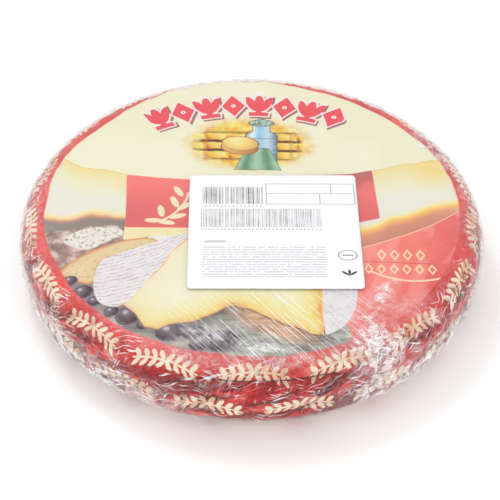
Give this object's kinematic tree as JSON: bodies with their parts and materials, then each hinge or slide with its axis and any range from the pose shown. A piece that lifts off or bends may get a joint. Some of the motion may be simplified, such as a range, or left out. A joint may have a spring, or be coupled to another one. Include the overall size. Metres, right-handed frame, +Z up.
{
  "type": "wrapped cheese wheel",
  "caption": "Low round wheel of soft washed-rind cheese in a printed foil wrapper and clear stretch film, with a square stock label on top.",
  "frame": {"origin": "on the surface that the wheel stands on, under the middle of the wheel", "axes": "+Z up through the middle of the wheel, -Y towards the side that the label is read from, +X to that reader's right"},
  "size_m": [0.274, 0.274, 0.0501],
  "materials": {
    "rind": "matte",
    "printed_foil": "satin",
    "clear_film": "gloss",
    "label_paper": "matte"
  },
  "bodies": {
    "root": {"cheese_wheel": "rind", "foil_wrapper": "printed_foil", "stretch_film": "clear_film", "stock_label": "label_paper"}
  },
  "joints": []
}
